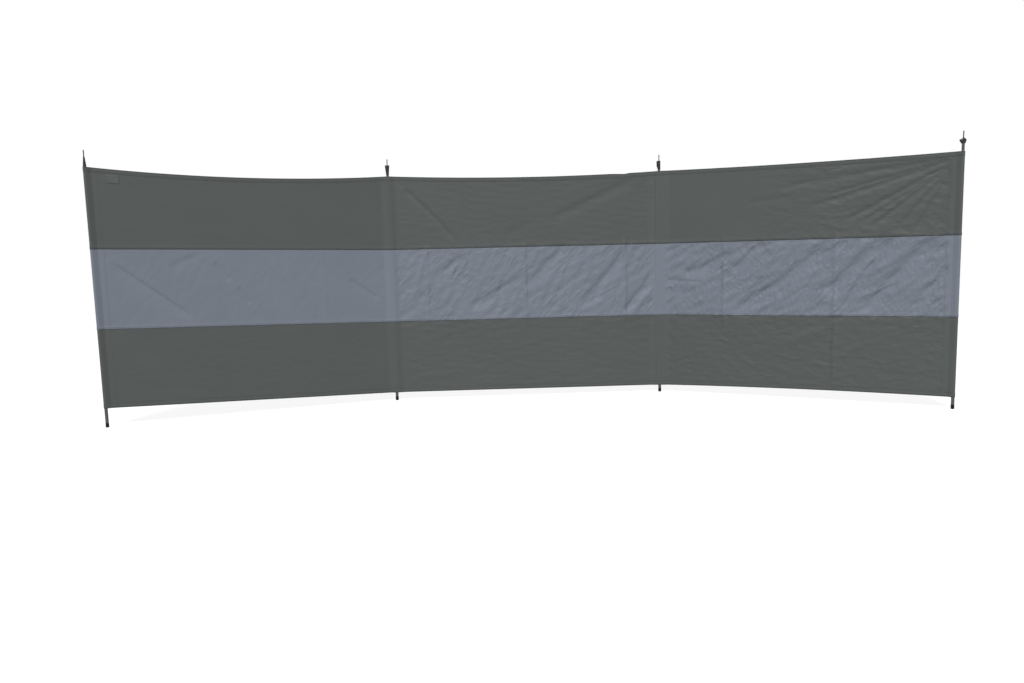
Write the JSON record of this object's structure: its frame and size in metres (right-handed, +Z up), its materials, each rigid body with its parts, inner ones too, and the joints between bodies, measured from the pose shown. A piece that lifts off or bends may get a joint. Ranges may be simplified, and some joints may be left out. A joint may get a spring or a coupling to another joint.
{
  "type": "beach windbreak",
  "caption": "Upright banded cloth windbreak in bays, sewn sleeves on slender poles, with capped tops, pins and feet; the end bays fold.",
  "frame": {"origin": "on the ground, in the middle of the flat underside of the second pole's foot", "axes": "+X along the middle bay towards the third pole, +Z up along the poles; the front faces -Y"},
  "size_m": [4.9668, 0.8415, 1.608],
  "materials": {
    "pole_steel": "dark grey powder coat",
    "foot_plastic": "moulded",
    "cap_plastic": "moulded",
    "pin_steel": "dull",
    "dark_cloth": "woven, coated",
    "light_cloth": "woven, coated",
    "hem_cloth": "woven, folded and stitched",
    "sleeve_cloth": "woven, stitched",
    "patch_cloth": "woven, plain"
  },
  "bodies": {
    "middle_bay": {"pole_2_lower_tube": "pole_steel", "pole_2_upper_tube": "pole_steel", "pole_2_foot": "foot_plastic", "pole_2_cap": "cap_plastic", "pole_2_pin": "pin_steel", "pole_3_lower_tube": "pole_steel", "pole_3_upper_tube": "pole_steel", "pole_3_foot": "foot_plastic", "pole_3_cap": "cap_plastic", "pole_3_pin": "pin_steel", "middle_bay_bottom_band": "dark_cloth", "middle_bay_middle_band": "light_cloth", "middle_bay_top_band": "dark_cloth", "middle_bay_bottom_hem": "hem_cloth", "middle_bay_top_hem": "hem_cloth", "pole_2_sleeve": "sleeve_cloth", "pole_3_sleeve": "sleeve_cloth"},
    "left_bay": {"pole_1_lower_tube": "pole_steel", "pole_1_upper_tube": "pole_steel", "pole_1_foot": "foot_plastic", "pole_1_cap": "cap_plastic", "pole_1_pin": "pin_steel", "left_bay_bottom_band": "dark_cloth", "left_bay_middle_band": "light_cloth", "left_bay_top_band": "dark_cloth", "left_bay_bottom_hem": "hem_cloth", "left_bay_top_hem": "hem_cloth", "pole_1_sleeve": "sleeve_cloth", "left_bay_margin": "sleeve_cloth", "left_bay_corner_patch": "patch_cloth"},
    "right_bay": {"pole_4_lower_tube": "pole_steel", "pole_4_upper_tube": "pole_steel", "pole_4_foot": "foot_plastic", "pole_4_cap": "cap_plastic", "pole_4_pin": "pin_steel", "right_bay_bottom_band": "dark_cloth", "right_bay_middle_band": "light_cloth", "right_bay_top_band": "dark_cloth", "right_bay_bottom_hem": "hem_cloth", "right_bay_top_hem": "hem_cloth", "pole_4_sleeve": "sleeve_cloth", "right_bay_margin": "sleeve_cloth"}
  },
  "joints": [
    {"name": "left_bay_fold", "type": "hinge", "parent": "middle_bay", "child": "left_bay", "pos_m": [0, 0, 0.75], "axis": [0, 0, 1], "range_deg": [-108.1, 136.9]},
    {"name": "right_bay_fold", "type": "hinge", "parent": "middle_bay", "child": "right_bay", "pos_m": [1.744, 0, 0.75], "axis": [0, 0, 1], "range_deg": [-62, 183]}
  ]
}
